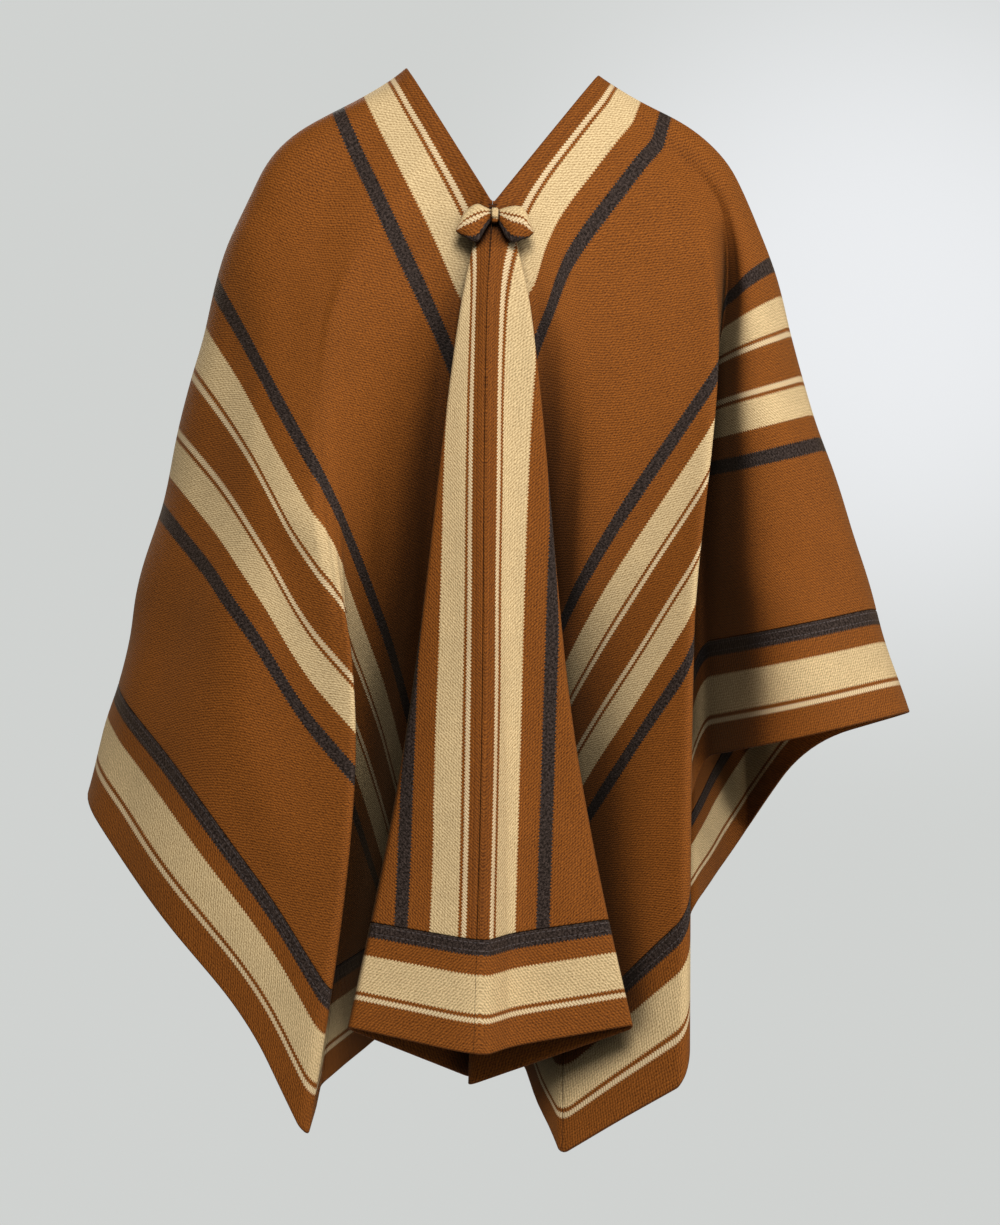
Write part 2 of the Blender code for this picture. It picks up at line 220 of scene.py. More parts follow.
# The bow: its pinch, its strip, and the sections of each loop out from the pinch, in millimetres.
BOW_PINCH = (2.0, -90.4, -139.0)
BOW_LEAN = 0.25
BOW_STRIP = 46.0          # width of the strip folded round a loop
BOW_SKEW = 12.0           # how much more of the strip shows at the pinch, where it is gathered
BOW_SQUARE = 26.0         # where the strip lies square, out from the pinch
# The bow's stripes, in millimetres across its strip.
BOW_BEIGE = ((-1.0, 17.0),)
BOW_THIN = ((19.0, 23.5),)
BOW_DARK = ((35.0, 60.0),)
KNOT_BEIGE = ((-1.0, 40.0),)
#   out from the pinch, top, bottom, half depth
LEFT_LOOP = (
    (3.5, 4.0, -6.5, 3.0),
    (9.0, 6.5, -15.0, 6.5),
    (15.0, 9.0, -25.5, 8.5),
    (21.0, 7.0, -26.0, 9.0),
    (27.5, 1.0, -22.0, 8.0),
    (32.0, -6.0, -19.5, 6.0),
    (35.5, -13.0, -16.5, 3.0),
)
RIGHT_LOOP = (
    (3.5, 4.0, -9.0, 3.0),
    (9.5, 6.0, -21.0, 6.5),
    (15.0, 7.0, -26.5, 8.5),
    (20.0, 7.0, -26.5, 9.0),
    (25.6, 5.0, -24.5, 8.0),
    (29.6, -1.0, -23.0, 6.5),
    (32.6, -9.0, -20.5, 5.0),
    (35.0, -16.0, -18.0, 3.0),
)
KNOT = (
    (-3.4, 4.0, -6.0, 3.4),
    (-2.0, 5.6, -7.8, 6.2),
    (2.0, 5.6, -7.8, 6.2),
    (3.4, 4.0, -6.0, 3.4),
)


# ---------------------------------------------------------------- the drape

def neck_point(v, side):
    """The neck opening's edge at v down the slit, on one side."""
    share = abs(v) / NECK_SLIT
    crest = NECK_CREST
    fall = (np.hypot(share, crest) - crest) / (np.hypot(1.0, crest) - crest)
    foot = NECK_FOOT_FRONT if v > 0 else NECK_FOOT_BACK
    top = NECK_POINTS[side]
    x = top[0] + (foot[0] - top[0]) * fall
    y = top[1] + (foot[1] - top[1]) * share
    z = top[2] + (foot[2] - top[2]) * fall
    return (x, y, z)


def cut_place(lies, ring, cut):
    """Where a fold crosses a ring, as (u, v) on the flat cut."""
    ring_u, ring_v = RING_SIZES[ring]
    places = {
        "front": (cut, ring_v),
        "front_corner": (ring_u, ring_v),
        "side": (ring_u, cut),
        "back_corner": (ring_u, -ring_v),
        "back": (cut, -ring_v),
    }
    return places[lies]


def smooth_through(knots, values, at):
    """A smooth curve through four stations, at many places at once."""
    knots = np.asarray(knots, float)
    values = np.asarray(values, float)
    at = np.asarray(at, float)
    steps = np.diff(knots)
    chords = np.diff(values, axis=0) / steps[:, None]
    slopes = np.empty_like(values)
    above = np.array(SLOPE_FROM_ABOVE)[:, None]
    slopes[1:-1] = chords[:-1] * above + chords[1:] * (1.0 - above)
    slopes[0] = chords[0]
    slopes[-1] = 1.5 * chords[-1] - 0.5 * slopes[-2]
    span = np.clip(np.searchsorted(knots, at) - 1, 0, len(steps) - 1)
    h = steps[span][:, None]
    t = ((at - knots[span]) / steps[span])[:, None]
    start = (1 + 2 * t) * (1 - t) ** 2 * values[span] + t * (1 - t) ** 2 * h * slopes[span]
    end = t * t * (3 - 2 * t) * values[span + 1] + t * t * (t - 1) * h * slopes[span + 1]
    return start + end


def row_stations():
    """Each row's station, 0 at the neck and 3 at the edge, and the row of the border's inner line."""
    inner = (WAIST_RING[0] - (HALF_WIDTH - BORDER)) / (WAIST_RING[0] - HALF_WIDTH)
    reach = {"neck": 0.0, "chest": 1.0, "waist": 2.0, "inner": 2.0 + inner, "edge": 3.0}
    rows = [0.0]
    inner_row = 0
    for start, end, count in ROWS:
        if start == "inner":
            inner_row = len(rows) - 1
        for step in range(1, count + 1):
            rows.append(reach[start] + (reach[end] - reach[start]) * step / count)
    return np.array(rows), inner_row


def fold_line(fold, side, rows):
    """One fold's points (x, y, z, u, v) down all rows."""
    name, lies, softness, neck_v, *numbers = fold
    stations = [(*neck_point(neck_v, side), 0.0, neck_v)]
    for index, ring in enumerate(("chest", "waist", "edge")):
        cut, x, y, z = numbers[4 * index:4 * index + 4]
        stations.append((x, y, z, *cut_place(lies, ring, cut)))
    stations = np.array(stations)
    lengths = np.hypot(*np.diff(stations[:, 3:], axis=0).T)
    knots = np.concatenate(([0.0], np.cumsum(lengths)))
    span = np.minimum(rows.astype(int), 2)
    line = smooth_through(knots, stations, knots[span] + (knots[span + 1] - knots[span]) * (rows - span))
    line[:, 3] *= side
    return line


def all_folds():
    """Every fold with its side, round the cloth from the front seam over the viewer's left."""
    ring = [(SEAM_FOLDS[0], -1)]
    ring += [(fold, -1) for fold in LEFT_FOLDS]
    ring += [(SEAM_FOLDS[1], -1)]
    ring += [(fold, 1) for fold in reversed(RIGHT_FOLDS)]
    return ring


def fold_softness(fold, rows):
    """The fold's softness down its rows: a corner sharpens towards its tip."""
    softness = np.full(len(rows), fold[2])
    if "corner" not in fold[1]:
        return softness
    towards_tip = np.clip((rows - 2.0) / (rows[-1] - 2.0), 0.0, 1.0)
    return softness + (TIP_SOFTNESS - softness) * towards_tip


def rounded_corner(here, last, following, softness):
    """Rows x arc points across one fold."""
    back = last - here
    on = following - here
    back_length = np.linalg.norm(back[:, :3], axis=1)
    on_length = np.linalg.norm(on[:, :3], axis=1)
    cosine = np.sum(back[:, :3] * on[:, :3], axis=1) / (back_length * on_length)
    half_turn = 0.5 * (np.pi - np.arccos(np.clip(cosine, -1.0, 1.0)))
    least = BEND_RADIUS * np.tan(half_turn)
    reach_back = np.minimum(BEND_SHARE, np.maximum(0.5 * softness, least / back_length))
    reach_on = np.minimum(BEND_SHARE, np.maximum(0.5 * softness, least / on_length))
    start = here + back * reach_back[:, None]
    end = here + on * reach_on[:, None]
    weight = np.cos(half_turn)[:, None]
    points = []
    for t in np.linspace(0.0, 1.0, ARC_POINTS):
        pull = 2.0 * weight * t * (1.0 - t)
        total = (1.0 - t) ** 2 + pull + t * t
        points.append(((1.0 - t) ** 2 * start + pull * here + t * t * end) / total)
    return np.stack(points, axis=1)


def smooth_chest(cloth, places, rows):
    """Evens out the cloth across the left chest, in place."""
    start, end = (places[name] for name in CHEST_SPAN)
    span = cloth[:, start:end + 1]
    pull = 0.5 * np.interp(rows, CHEST_ROWS, (0.0, 1.0, 1.0, 0.0))[:, None, None]
    for _ in range(CHEST_PASSES):
        span[:, 1:-1] += pull * (0.5 * (span[:, :-2] + span[:, 2:]) - span[:, 1:-1])


def drape():
    """The whole cloth as rows x columns of (x, y, z, u, v).

    Also the column of each fold, the row of the border's inner line, and each column's side.
    """
    ring = all_folds()
    rows, inner_row = row_stations()
    lines = [fold_line(fold, side, rows) for fold, side in ring]
    arcs = []
    for place, (fold, side) in enumerate(ring):
        last = lines[place - 1]
        following = lines[(place + 1) % len(ring)]
        arcs.append(rounded_corner(lines[place], last, following, fold_softness(fold, rows)))
    shares = (np.arange(FLAT_POINTS) + 1.0) / (FLAT_POINTS + 1.0)
    columns = []
    places = {}
    for place, (fold, side) in enumerate(ring):
        where = "left_" if side < 0 else "right_"
        places[where + fold[0]] = place * FOLD_COLUMNS + ARC_POINTS // 2
        after = arcs[(place + 1) % len(ring)]
        start = arcs[place][:, -1:]
        columns.append(arcs[place])
        columns.append(start + (after[:, :1] - start) * shares[None, :, None])
    cloth = np.concatenate(columns, axis=1)
    cloth[:, :, 3] = np.abs(cloth[:, :, 3])
    smooth_chest(cloth, places, rows)
    sides = np.where(np.arange(cloth.shape[1]) > places["left_back_seam"], 1.0, -1.0)
    return cloth, places, inner_row, sides


def unit(vectors):
    return vectors / np.linalg.norm(vectors, axis=-1, keepdims=True)


def cloth_directions(points):
    """Unit vectors down the rows, round the columns and out of the cloth, at each point."""
    down = unit(np.gradient(points, axis=0))
    following = unit(np.roll(points, -1, axis=1) - points)
    before = unit(points - np.roll(points, 1, axis=1))
    round_way = unit(following + before)
    return down, round_way, unit(np.cross(down, round_way))


def crease_height(u, v):
    """How far the cloth stands out at (u, v) for its creases and its slow unevenness."""
    height = np.zeros_like(u)
    for from_u, from_v, to_u, to_v, width, depth in CREASES:
        along_u = to_u - from_u
        along_v = to_v - from_v
        share = ((u - from_u) * along_u + (v - from_v) * along_v) / (along_u ** 2 + along_v ** 2)
        share = np.clip(share, 0.0, 1.0)
        away = np.hypot(u - from_u - share * along_u, v - from_v - share * along_v)
        height += depth * np.exp(-(away / width) ** 2)
    for length_u, length_v, phase, depth in WAVES:
        height += depth * np.sin(2.0 * np.pi * (u / length_u + v / length_v) + phase)
    return height


def fold_fade(count):
    """For each column, 0 on a sharp fold and 1 well away from it."""
    fade = np.ones(count)
    reach = FADE_SHARE * FOLD_COLUMNS
    for place, (fold, _) in enumerate(all_folds()):
        away = np.abs(np.arange(count) - place * FOLD_COLUMNS - ARC_POINTS // 2)
        away = np.minimum(away, count - away)
        open_share = np.clip((away - reach) / reach, 0.0, 1.0)
        least = np.clip((fold[2] - SHARP_FOLD) / (SOFT_FOLD - SHARP_FOLD), 0.0, 1.0)
        fade = np.minimum(fade, least + (1.0 - least) * open_share)
    return fade


def creased(cloth, sides):
    """The cloth's points with its creases, fading out at sharp folds, centre seams and neck."""
    points = cloth[:, :, :3]
    u = cloth[:, :, 3]
    v = cloth[:, :, 4]
    height = crease_height(u * sides[None, :], v)
    from_seam = np.clip(u / SEAM_FADE, 0.0, 1.0)
    from_neck = np.clip(np.arange(len(cloth)) / NECK_FADE_ROWS, 0.0, 1.0)[:, None]
    out = cloth_directions(points)[2]
    height *= from_seam * from_neck * fold_fade(len(sides))
    return points + out * height[:, :, None]


def bend_share(points, out):
    """The wall share that fits inside the bends across the columns."""
    step = np.linalg.norm(points[:, 2:] - points[:, :-2], axis=-1)
    turn = np.linalg.norm(out[:, 2:] - out[:, :-2], axis=-1)
    radius = step / np.maximum(turn, 1e-9)
    share = np.clip(BEND_ROOM * radius / (0.5 * WALL), THINNEST, 1.0)
    share = np.pad(share, ((0, 0), (3, 3)), mode="edge")
    return np.min([share[:, shift:shift + points.shape[1]] for shift in range(5)], axis=0)


def thin_rims(points, out, cut, joined):
    """Adds rows and columns near a piece's edges, and gives each point's wall share.

    joined is the end of the columns where the next piece carries straight on, or None.
    """
    share = bend_share(points, out)
    for axis in (0, 1):
        points, out, cut, share = (np.swapaxes(a, 0, axis) for a in (points, out, cut, share))
        for end in (0, 1):
            if end:
                points, out, cut, share = (a[::-1] for a in (points, out, cut, share))
            step = points[1] - points[0]
            length = np.linalg.norm(step, axis=-1)
            new = []
            for distance, thin in RIM:
                part = np.minimum(distance, length * distance / RIM_STEP) / length
                new.append([
                    points[0] + step * part[:, None],
                    out[0],
                    cut[0] + (cut[1] - cut[0]) * part[:, None],
                    share[0] * (1.0 if axis == 1 and end == joined else thin),
                ])
            stacked = [np.stack([row[i] for row in new]) for i in range(4)]
            points, out, cut, share = (
                np.concatenate((made, a[1:])) for made, a in zip(stacked, (points, out, cut, share)))
            if end:
                points, out, cut, share = (a[::-1] for a in (points, out, cut, share))
        points, out, cut, share = (np.swapaxes(a, 0, axis) for a in (points, out, cut, share))
    return points, out, cut, share


def wall_mesh(name, points, out, cut, finish, joined=None):
    """A closed wall of cloth round a grid of points; cut gives each point's place in the weave."""
    points, out, cut, share = thin_rims(points, out, cut, joined)
    row_count, column_count = share.shape
    half = (0.5 * WALL * share)[:, :, None] * out
    vertices = np.concatenate(((points + half).reshape(-1, 3), (points - half).reshape(-1, 3))) * MM
    index = np.arange(row_count * column_count).reshape(row_count, column_count)
    quads = np.stack((index[:-1, :-1], index[1:, :-1], index[1:, 1:], index[:-1, 1:]), axis=-1)
    outer = quads.reshape(-1, 4)
    inner = outer[:, ::-1] + row_count * column_count
    border = [index[:, 0], index[-1, 1:], index[-2::-1, -1], index[0, -2:0:-1]]
    loop = np.concatenate(border)
    below = loop + row_count * column_count
    rim = np.stack((loop, below, np.roll(below, -1), np.roll(loop, -1)), axis=-1)
    faces = np.concatenate((outer, inner, rim))
    mesh = bpy.data.meshes.new(name)
    mesh.from_pydata(vertices.tolist(), [], faces.tolist())
    places = np.concatenate((cut.reshape(-1, 2), cut.reshape(-1, 2))) * MM
    corners = np.empty(len(mesh.loops), dtype=np.int64)
    mesh.loops.foreach_get("vertex_index", corners)
    layer = mesh.uv_layers.new(name="weave")
    layer.data.foreach_set("uv", places[corners].ravel())
    mesh.materials.append(finish)
    mesh.shade_smooth()
    mesh.validate()
    piece = bpy.data.objects.new(name, mesh)
    bpy.context.scene.collection.objects.link(piece)
    return piece


def drawn_back(points, down, round_way):
    """The piece's points with its edges drawn back by half a seam gap."""
    points = points.copy()
    half = SEAM_GAP / 2.0
    points[0] += half * down[0]
    points[-1] -= half * down[-1]
    points[:, 0] += half * round_way[:, 0]
    points[:, -1] -= half * round_way[:, -1]
    return points


def panel_cut(cut, side):
    """The body's weave place: the right panel's stripes shift by its lap down the front seam."""
    u = cut[:, :, 0]
    v = cut[:, :, 1]
    if side == "left":
        return np.stack((u, v), axis=-1)
    lap = LAP_AT_HEM * np.clip((v - NECK_SLIT) / (HALF_LENGTH - NECK_SLIT), 0.0, 1.0)
    near = np.clip((LAP_ENDS[1] - u) / (LAP_ENDS[1] - LAP_ENDS[0]), 0.0, 1.0)
    return np.stack((u + lap * near, v), axis=-1)


def border_cut(cut, part, rows):
    """The border's weave place: millimetres in from the outer edge, and along the strip."""
    stations = row_stations()[0][rows]
    across = BORDER * (stations[-1] - stations) / (stations[-1] - stations[0])
    across = np.repeat(across[:, None], cut.shape[1], axis=1)
    along = cut[:, :, 1] if part == "side" else cut[:, :, 0]
    return np.stack((across, along), axis=-1)


# ---------------------------------------------------------------- materials

class Nodes:
    """Short calls for making one material's nodes."""

    def __init__(self, name):
        self.material = bpy.data.materials.new(name)
        self.material.use_nodes = True
        self.tree = self.material.node_tree
        self.shader = self.tree.nodes["Principled BSDF"]

    def put(self, socket, value):
        if isinstance(value, bpy.types.NodeSocket):
            self.tree.links.new(value, socket)
        elif value is not None:
            socket.default_value = value

    def math(self, operation, a, b=None, c=None, clamp=False):
        node = self.tree.nodes.new("ShaderNodeMath")
        node.operation = operation
        node.use_clamp = clamp
        for socket, value in zip(node.inputs, (a, b, c)):
            self.put(socket, value)
        return node.outputs[0]

    def mix(self, factor, a, b, blend="MIX"):
        node = self.tree.nodes.new("ShaderNodeMix")
        node.data_type = "RGBA"
        node.blend_type = blend
        self.put(node.inputs[0], factor)
        self.put(node.inputs[6], (*a, 1.0) if isinstance(a, tuple) else a)
        self.put(node.inputs[7], (*b, 1.0) if isinstance(b, tuple) else b)
        return node.outputs[2]

    def noise(self, vector, scale, detail=2.0, roughness=0.5):
        node = self.tree.nodes.new("ShaderNodeTexNoise")
        self.put(node.inputs["Vector"], vector)
        node.inputs["Scale"].default_value = scale
        node.inputs["Detail"].default_value = detail
        node.inputs["Roughness"].default_value = roughness
        return node.outputs["Fac"]

    def spread(self, value, low, high):
        """value from low to high, stretched to 0 to 1."""
        node = self.tree.nodes.new("ShaderNodeMapRange")
        self.put(node.inputs[0], value)
        node.inputs[1].default_value = low
        node.inputs[2].default_value = high
        return node.outputs[0]

    def weave_place(self):
        """The weave's own coordinates: the UV vector, across and along in millimetres."""
        uv = self.tree.nodes.new("ShaderNodeUVMap")
        uv.uv_map = "weave"
        parts = self.tree.nodes.new("ShaderNodeSeparateXYZ")
        self.tree.links.new(uv.outputs[0], parts.inputs[0])
        across = self.math("MULTIPLY", parts.outputs[0], 1000.0)
        along = self.math("MULTIPLY", parts.outputs[1], 1000.0)
        return uv.outputs[0], across, along

    def wave(self, place, length):
        """0 to 1 and back, once in each length."""
        turn = self.math("MULTIPLY", place, 2.0 * math.pi / length)
        return self.math("MULTIPLY_ADD", self.math("SINE", turn), 0.5, 0.5)

    def stripes(self, place, bands):
        """1 inside any of the bands, and 0 elsewhere."""
        total = None
        for low, high in bands:
            inside = self.math("COMPARE", place, 0.5 * (low + high), 0.5 * (high - low))
            total = inside if total is None else self.math("ADD", total, inside)
        return total


def toothed(nodes, across, along):
    """The place across the weave, shifted in small teeth so that a stripe's edge zigzags."""
    tooth = nodes.math("PINGPONG", nodes.math("ADD", along, 5000.0), TOOTH / 2.0)
    shift = nodes.math("MULTIPLY_ADD", tooth, 4.0 * TOOTH_DEPTH / TOOTH, -TOOTH_DEPTH)
    return nodes.math("ADD", across, shift)


def painted_fold_shade(nodes):
    """Painted shade: 1 on open cloth, falling where the cloth stands close in front of itself, to darken
    the colour in folds and recesses.
    """
    low, high = FOLD_SHADE_OPENNESS
    open_sky = nodes.tree.nodes.new("ShaderNodeAmbientOcclusion")
    open_sky.samples = 6
    open_sky.inputs["Distance"].default_value = FOLD_SHADE_REACH
    return nodes.math("MAXIMUM", nodes.spread(open_sky.outputs["AO"], low, high), FOLD_SHADE_DARKEST)


def wool(name, beige_bands, thin_bands, dark_bands, extra=None):
    """Napped wool twill with woven stripes across its UV layer."""
    nodes = Nodes(name)
    vector, across, along = nodes.weave_place()
    sway = nodes.math("MULTIPLY_ADD", nodes.noise(vector, 160.0, 2.0, 0.6), 5.0, along)
    twill = nodes.wave(nodes.math("MULTIPLY_ADD", across, 0.85, sway), TWILL)
    rib = nodes.wave(nodes.math("MULTIPLY_ADD", nodes.noise(vector, 210.0, 1.0, 0.5), 3.0, across), 2.6)
    fleck = nodes.noise(vector, 520.0, 2.0, 0.65)
    fibre = nodes.noise(vector, 1500.0, 1.0, 0.6)
    patch = nodes.noise(vector, 42.0, 3.0, 0.6)
    cloud = nodes.noise(vector, 7.0, 2.0, 0.5)

    ribbed = nodes.math("MULTIPLY_ADD", rib, 0.22, nodes.math("MULTIPLY", fibre, 0.5))
    yarn = nodes.math("MULTIPLY_ADD", twill, 0.40, nodes.math("MULTIPLY_ADD", fleck, 1.1, ribbed))
    yarn = nodes.spread(yarn, 0.60, 1.70)
    brown = nodes.mix(nodes.spread(yarn, 0.05, 1.05), BROWN[0], BROWN[1])
    beige = nodes.mix(nodes.spread(yarn, -0.10, 0.78), BEIGE[0], BEIGE[1])
    salt = nodes.spread(nodes.noise(vector, 430.0, 3.0, 0.75), 0.42, 0.75)
    dark = nodes.mix(salt, DARK[0], DARK[1])

    place = toothed(nodes, across, along)
    colour = nodes.mix(nodes.stripes(place, beige_bands), brown, beige)
    rope = nodes.wave(nodes.math("MULTIPLY_ADD", across, 1.0, along), TOOTH)
    thin = nodes.mix(nodes.spread(rope, -0.1, 0.55), THIN[0], THIN[1])
    colour = nodes.mix(nodes.stripes(place, thin_bands), colour, thin)
    fuzz = nodes.math("MULTIPLY_ADD", fleck, 1.6, -0.8)
    dark_mask = nodes.stripes(nodes.math("ADD", place, fuzz), dark_bands)
    colour = nodes.mix(dark_mask, colour, dark)
    height = nodes.math("MULTIPLY_ADD", twill, 0.55, nodes.math("MULTIPLY", fleck, 0.6))
    if extra:
        colour, height = extra(nodes, across, along, colour, height)

    tone = nodes.math("MULTIPLY_ADD", patch, 0.20, nodes.math("MULTIPLY_ADD", cloud, 0.16, 0.82))
    # Painted shade: the random tone is darkened where ambient occlusion finds cloth close by, in folds
    # and recesses.
    tone = nodes.math("MULTIPLY", tone, painted_fold_shade(nodes))
    shade = nodes.tree.nodes.new("ShaderNodeCombineColor")
    for socket in shade.inputs[:3]:
        nodes.put(socket, tone)
    colour = nodes.mix(1.0, colour, shade.outputs[0], "MULTIPLY")
    nodes.put(nodes.shader.inputs["Base Color"], colour)
    nodes.put(nodes.shader.inputs["Roughness"], nodes.spread(fleck, -1.5, 1.2))
    nodes.shader.inputs["Specular IOR Level"].default_value = 0.12
    nodes.shader.inputs["Sheen Weight"].default_value = 0.08
    nodes.shader.inputs["Sheen Roughness"].default_value = 0.45
    nodes.shader.inputs["Sheen Tint"].default_value = (0.9, 0.58, 0.30, 1.0)
    bump = nodes.tree.nodes.new("ShaderNodeBump")
    bump.inputs["Strength"].default_value = 0.55
    bump.inputs["Distance"].default_value = 0.0007
    nodes.put(bump.inputs["Height"], height)
    nodes.put(nodes.shader.inputs["Normal"], bump.outputs[0])
    return nodes.material


def seam_zone(nodes, across, along, colour, height):
    """The herringbone band beside the centre seam, and the dark line of the seam itself."""
    band = nodes.stripes(across, ((-1.0, 15.0),))
    rib = nodes.wave(across, 4.2)
    flip = nodes.wave(nodes.math("MULTIPLY_ADD", across, -0.9, along), TWILL)
    turned = nodes.math("GREATER_THAN", nodes.wave(across, 8.4), 0.5)
    bone = nodes.math("MULTIPLY", turned, flip)
    depth = nodes.math("MULTIPLY_ADD", nodes.math("MULTIPLY", rib, bone), 0.35, 0.12)
    darker = nodes.mix(nodes.math("MULTIPLY", band, depth), colour, BAND_SHADE)
    sewn = nodes.math("GREATER_THAN", nodes.math("ABSOLUTE", along), NECK_SLIT + 1.0)
    seam = nodes.math("MULTIPLY", sewn, nodes.stripes(across, ((-1.0, 1.0),)))
    stitch = nodes.spread(nodes.wave(along, 5.6), 0.1, 0.5)
    line = nodes.math("MULTIPLY", seam, nodes.math("MULTIPLY_ADD", stitch, 0.5, 0.45))
    colour = nodes.mix(line, darker, SEAM_SHADE)
    dip = nodes.math("MULTIPLY_ADD", nodes.math("MULTIPLY", band, rib), 0.8, height)
    return colour, dip


def hem_lines(nodes, across, along, colour, height):
    """Stitching along the border's dark band, and a darker line along the border's outer edge."""
    row = nodes.stripes(across, ((93.2, 94.0), (100.6, 101.4)))
    dash = nodes.math("GREATER_THAN", nodes.wave(along, 5.0), 0.35)
    stitch = nodes.math("MULTIPLY", row, dash)
    colour = nodes.mix(nodes.math("MULTIPLY", stitch, 0.45), colour, STITCH_SHADE)
    edge = nodes.stripes(across, ((-1.0, 1.4),))
    colour = nodes.mix(nodes.math("MULTIPLY", edge, 0.45), colour, EDGE_SHADE)
    sunk = nodes.math("MULTIPLY_ADD", nodes.math("ADD", row, edge), -1.2, height)
    return colour, sunk


# ---------------------------------------------------------------- the cloth pieces

def cloth_pieces(body_wool, border_wool):
    cloth, places, inner_row, sides = drape()
    cut = cloth[:, :, 3:]
    points = creased(cloth, sides)
    down, round_way, out = cloth_directions(points)
    count = cloth.shape[1]
    front = places["left_front_seam"]
    back = places["left_back_seam"]
    halves = {
        "left": list(range(front, back + 1)),
        "right": [index % count for index in range(back, front + count + 1)],
    }
    corners = {
        "left": (places["left_corner"], places["left_back_corner"]),
        "right": (places["right_back_corner"], places["right_corner"]),
    }
    parts = {"left": ("front", "side", "back"), "right": ("back", "side", "front")}
    centre_ends = (0, None, 1)
    made = {}
    for side, columns in halves.items():
        rows = list(range(inner_row + 1))
        place = np.ix_(rows, columns)
        moved = drawn_back(points[place], down[place], round_way[place])
        name = "body_panel_" + side
        weave = panel_cut(cut[place], side)
        made[name] = wall_mesh("cloth_" + name, moved, out[place], weave, body_wool)
        first, second = (columns.index(corner) for corner in corners[side])
        spans = (columns[:first + 1], columns[first:second + 1], columns[second:])
        rows = list(range(inner_row, len(cloth)))
        for part, span, joined in zip(parts[side], spans, centre_ends):
            place = np.ix_(rows, span)
            moved = drawn_back(points[place], down[place], round_way[place])
            name = "border_" + part + "_" + side
            strip = border_cut(cut[place], part, rows)
            made[name] = wall_mesh("cloth_" + name, moved, out[place], strip, border_wool, joined)
    return made


# ---------------------------------------------------------------- the bow

def smoothed(sections, steps):
    """The sections with steps between each pair, on a smooth curve through them."""
    table = np.array(sections, float)
    padded = np.vstack((2 * table[0] - table[1], table, 2 * table[-1] - table[-2]))
    fine = []
    for i in range(1, len(padded) - 2):
        a, b, c, d = padded[i - 1:i + 3]
        for t in np.arange(steps) / steps:
            fine.append(0.5 * (2 * b + (c - a) * t + (2 * a - 5 * b + 4 * c - d) * t ** 2
                               + (3 * b - a - 3 * c + d) * t ** 3))
    fine.append(table[-1])
    return np.array(fine)


def bow_loop(name, sections, side, finish, turns=40, steps=5):
    """A folded loop of striped cloth: crowned sections with a soft gather towards the pinch."""
    rows = smoothed(sections, steps)
    mesh = bmesh.new()
    layer = mesh.loops.layers.uv.new("weave")
    rings = []
    for out, top, bottom, depth in rows:
        middle = 0.5 * (top + bottom)
        height = 0.5 * (top - bottom)
        gather = 0.10 * math.exp(-out / 14.0)
        ring = []
        for step in range(turns):
            turn = 2.0 * math.pi * step / turns
            swell = 1.0 + gather * math.cos(7.0 * turn + 0.8) - 0.05 * math.cos(3.0 * turn + 0.1 * out)
            rise = middle + height * swell * math.copysign(abs(math.cos(turn)) ** 0.85, math.cos(turn))
            x = BOW_PINCH[0] + side * out
            y = BOW_PINCH[1] - depth * swell * math.sin(turn) + BOW_LEAN * rise
            z = BOW_PINCH[2] + rise
            vertex = mesh.verts.new((x * MM, y * MM, z * MM))
            ring.append((vertex, out))
        rings.append(ring)

    def place(step, out):
        share = min(step, turns - step) / (turns / 2.0)
        return (share * (BOW_STRIP + BOW_SKEW * (1.0 - out / BOW_SQUARE)) * MM, out * MM)

    for here, following in zip(rings, rings[1:]):
        for step in range(turns):
            after = (step + 1) % turns
            corner = (here[step], here[after], following[after], following[step])
            face = mesh.faces.new([vertex for vertex, out in corner])
            for loop, number, pair in zip(face.loops, (step, step + 1, step + 1, step), corner):
                loop[layer].uv = place(number, pair[1])
    for ring in (rings[0], rings[-1]):
        face = mesh.faces.new([vertex for vertex, out in ring])
        for step, loop in enumerate(face.loops):
            loop[layer].uv = place(step, ring[step][1])
    bmesh.ops.recalc_face_normals(mesh, faces=mesh.faces)
    data = bpy.data.meshes.new(name)
    mesh.to_mesh(data)
    mesh.free()
    data.materials.append(finish)
    data.shade_smooth()
    piece = bpy.data.objects.new(name, data)
    bpy.context.scene.collection.objects.link(piece)
    return piece


# ---------------------------------------------------------------- light, floor and camera

GLOW_AT = (0.09, 0.993, 0.07)         # the direction of the brightest place of the painted pool of light on the backdrop
GLOW_REACH = 0.135                    # how far from there it fades out
PAPER = (0.630, 0.645, 0.632, 1.0)
PAPER_LIT = (0.835, 0.850, 0.870, 1.0)
WORLD_LIGHT = 0.16                    # the world's strength as light
WORLD_SEEN = 0.84                     # what is added to it where the camera sees it
#   name, place, target, size, power, colour
LIGHTS = (
    ("key", (0.2, -3.0, 1.9), (0.0, 0.0, -0.25), 1.5, 118.0, (1.0, 0.97, 0.93)),
    ("side", (3.0, -0.8, 0.4), (0.2, 0.0, -0.4), 1.2, 38.0, (1.0, 0.97, 0.94)),
    ("back", (-1.2, 3.4, 1.4), (0.0, 0.0, -0.5), 2.0, 60.0, (1.0, 1.0, 1.0)),
)
FLOOR_RADIUS = 4.0
FLOOR_HEIGHT = -1.75
FLOOR_CORNERS = 96
FLOOR_FADE = (3.0, 1.0)               # unseen beyond the first radius, and whole inside the second
FLOOR_GREYS = ((0.60, 0.61, 0.60), (0.63, 0.64, 0.63))
CAMERA_PLACE = (0.0065, -4.0, -0.5013)
CAMERA_SENSOR = 24.0
CAMERA_LENS = 84.27


def area_light(name, place, target, size, power, colour):
    data = bpy.data.lights.new(name, "AREA")
    data.energy = power
    data.size = size
    data.color = colour
    lamp = bpy.data.objects.new(name, data)
    lamp.location = place
    lamp.rotation_euler = (Vector(target) - Vector(place)).to_track_quat("-Z", "Y").to_euler()
    bpy.context.scene.collection.objects.link(lamp)


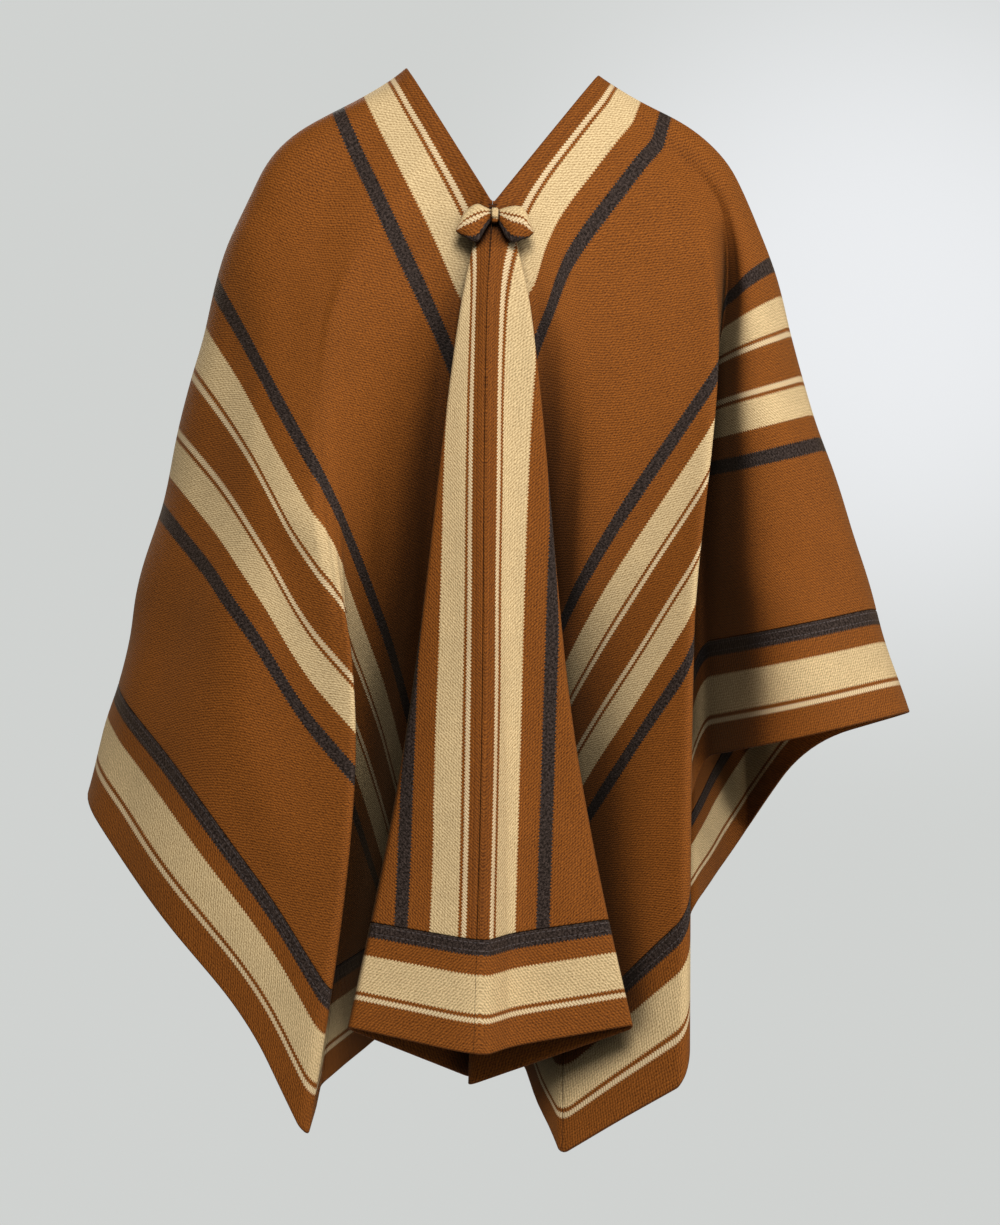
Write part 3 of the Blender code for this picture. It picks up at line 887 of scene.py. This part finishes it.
def backdrop_colour(tree):
    """Pale grey, with a painted pool of light behind the sleeve, as a studio's lit paper shows."""
    direction = tree.nodes.new("ShaderNodeTexCoord")
    distance = tree.nodes.new("ShaderNodeVectorMath")
    distance.operation = "DISTANCE"
    tree.links.new(direction.outputs["Generated"], distance.inputs[0])
    distance.inputs[1].default_value = GLOW_AT
    pool = tree.nodes.new("ShaderNodeMapRange")
    pool.interpolation_type = "SMOOTHERSTEP"
    tree.links.new(distance.outputs["Value"], pool.inputs[0])
    pool.inputs[1].default_value = GLOW_REACH
    pool.inputs[2].default_value = 0.0
    colour = tree.nodes.new("ShaderNodeMix")
    colour.data_type = "RGBA"
    tree.links.new(pool.outputs[0], colour.inputs[0])
    colour.inputs[6].default_value = PAPER
    colour.inputs[7].default_value = PAPER_LIT
    return colour.outputs[2]


def studio():
    """The backdrop and the three lamps."""
    world = bpy.data.worlds.new("studio")
    bpy.context.scene.world = world
    world.use_nodes = True
    tree = world.node_tree
    background = tree.nodes["Background"]
    tree.links.new(backdrop_colour(tree), background.inputs[0])
    path = tree.nodes.new("ShaderNodeLightPath")
    strength = tree.nodes.new("ShaderNodeMath")
    strength.operation = "MULTIPLY_ADD"
    tree.links.new(path.outputs["Is Camera Ray"], strength.inputs[0])
    strength.inputs[1].default_value = WORLD_SEEN
    strength.inputs[2].default_value = WORLD_LIGHT
    tree.links.new(strength.outputs[0], background.inputs[1])
    for light in LIGHTS:
        area_light(*light)
    bpy.context.scene.view_settings.view_transform = "Standard"


def floor():
    """A round pale floor that fades out into the background."""
    mesh = bpy.data.meshes.new("floor")
    turns = np.linspace(0.0, 2.0 * math.pi, FLOOR_CORNERS + 1)[:-1]
    ring = [(FLOOR_RADIUS * math.cos(a), FLOOR_RADIUS * math.sin(a), FLOOR_HEIGHT) for a in turns]
    mesh.from_pydata(ring, [], [list(range(FLOOR_CORNERS))])
    made = Nodes("floor")
    place = made.tree.nodes.new("ShaderNodeNewGeometry")
    parts = made.tree.nodes.new("ShaderNodeSeparateXYZ")
    made.tree.links.new(place.outputs["Position"], parts.inputs[0])
    reach = made.math("SQRT", made.math("ADD", made.math("POWER", parts.outputs[0], 2.0),
                                        made.math("POWER", parts.outputs[1], 2.0)))
    made.put(made.shader.inputs["Alpha"], made.spread(reach, *FLOOR_FADE))
    grain = made.noise(place.outputs["Position"], 60.0, 2.0, 0.5)
    made.put(made.shader.inputs["Base Color"], made.mix(grain, *FLOOR_GREYS))
    made.shader.inputs["Roughness"].default_value = 0.85
    made.shader.inputs["Specular IOR Level"].default_value = 0.1
    mesh.materials.append(made.material)
    piece = bpy.data.objects.new("floor", mesh)
    bpy.context.scene.collection.objects.link(piece)


def camera():
    """The photograph's view, from 4 m in front."""
    data = bpy.data.cameras.new("camera")
    data.sensor_fit = "AUTO"
    data.sensor_width = CAMERA_SENSOR
    data.lens = CAMERA_LENS
    eye = bpy.data.objects.new("camera", data)
    eye.location = CAMERA_PLACE
    eye.rotation_euler = (math.radians(90.0), 0.0, 0.0)
    bpy.context.scene.collection.objects.link(eye)
    bpy.context.scene.camera = eye


# ---------------------------------------------------------------- everything together


def declare(made):
    """Hides the model.glb part that each cloth piece replaces, and attaches the piece to the root body.
    """
    for name, piece in made.items():
        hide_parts(name)
        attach(piece, "root")


def main():
    body_wool = wool("wool_body", BODY_BEIGE, BODY_THIN, BODY_DARK, seam_zone)
    border_wool = wool("wool_border_strip", BORDER_BEIGE, BORDER_THIN, BORDER_DARK, hem_lines)
    bow_wool = wool("wool_bow", BOW_BEIGE, BOW_THIN, BOW_DARK)
    knot_wool = wool("wool_knot", KNOT_BEIGE, NO_STRIPE, NO_STRIPE)
    made = cloth_pieces(body_wool, border_wool)
    declare(made)
    loops = (
        ("bow_loop_left", LEFT_LOOP, -1, bow_wool, "wool_border"),
        ("bow_loop_right", RIGHT_LOOP, 1, bow_wool, "wool_border"),
        ("bow_knot", KNOT, 1, knot_wool, "wool_brown"),
    )
    for name, sections, side, finish, slot in loops:
        piece = bow_loop("cloth_" + name, sections, side, finish)
        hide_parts(name)
        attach(piece, "root")
    floor()
    studio()
    camera()


main()
